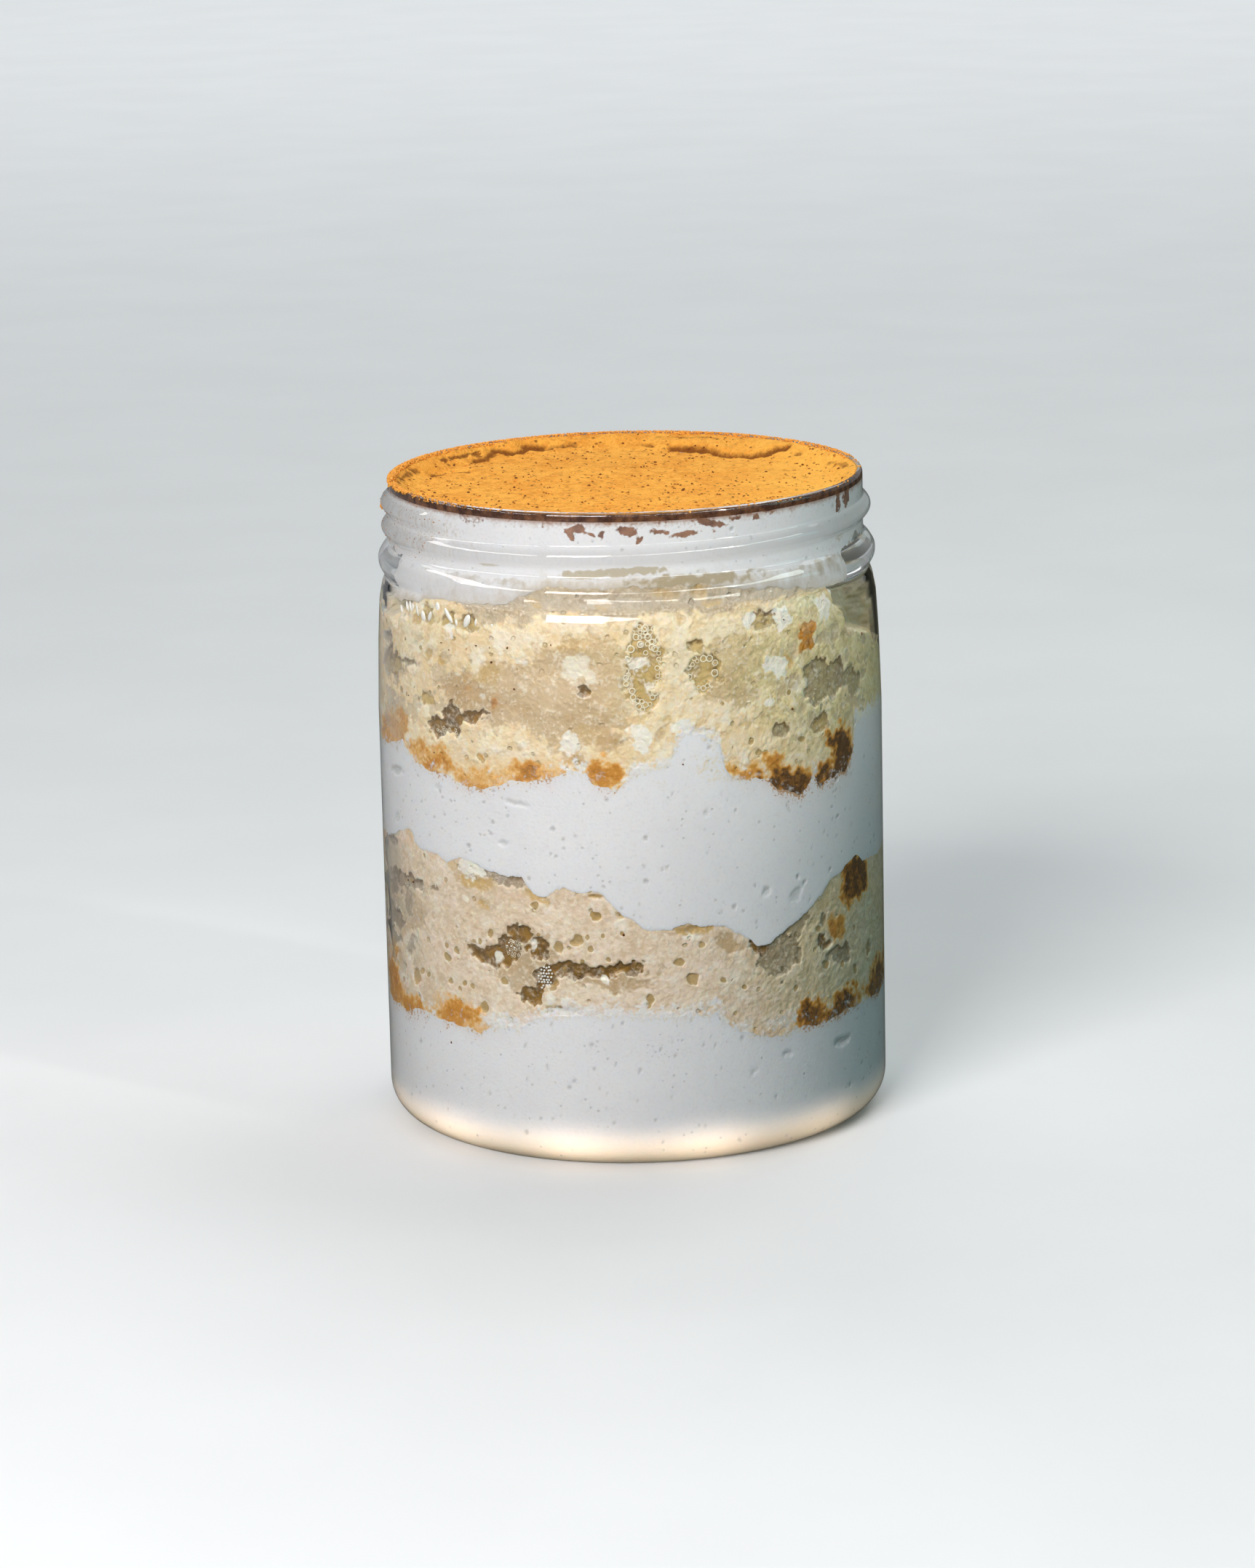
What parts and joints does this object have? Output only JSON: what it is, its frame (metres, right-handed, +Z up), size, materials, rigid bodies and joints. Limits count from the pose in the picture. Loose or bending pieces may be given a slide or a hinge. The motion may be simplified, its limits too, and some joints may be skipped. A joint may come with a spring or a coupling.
{
  "type": "tres leches cake",
  "caption": "Layered milk-soaked sponge and whipped cream in an open clear screw-neck jar, dusted with ground cinnamon.",
  "frame": {"origin": "centre of the jar's footprint, on the surface it stands on", "axes": "+Z up along the jar's axis; -Y towards the shown side"},
  "size_m": [0.092, 0.092, 0.1184],
  "materials": {
    "clear_plastic": "clear glossy plastic, thin wall",
    "cream": "smooth whipped cream, soft sheen, fine air pits",
    "soaked_cake": "wet open crumb, pale yellow, browned crust at the bottom",
    "cinnamon": "dry fine powder, matte"
  },
  "bodies": {
    "root": {"jar": "clear_plastic", "cream_bottom": "cream", "cake_lower": "soaked_cake", "cream_middle": "cream", "cake_upper": "soaked_cake", "cream_top": "cream", "cinnamon": "cinnamon"}
  },
  "joints": []
}
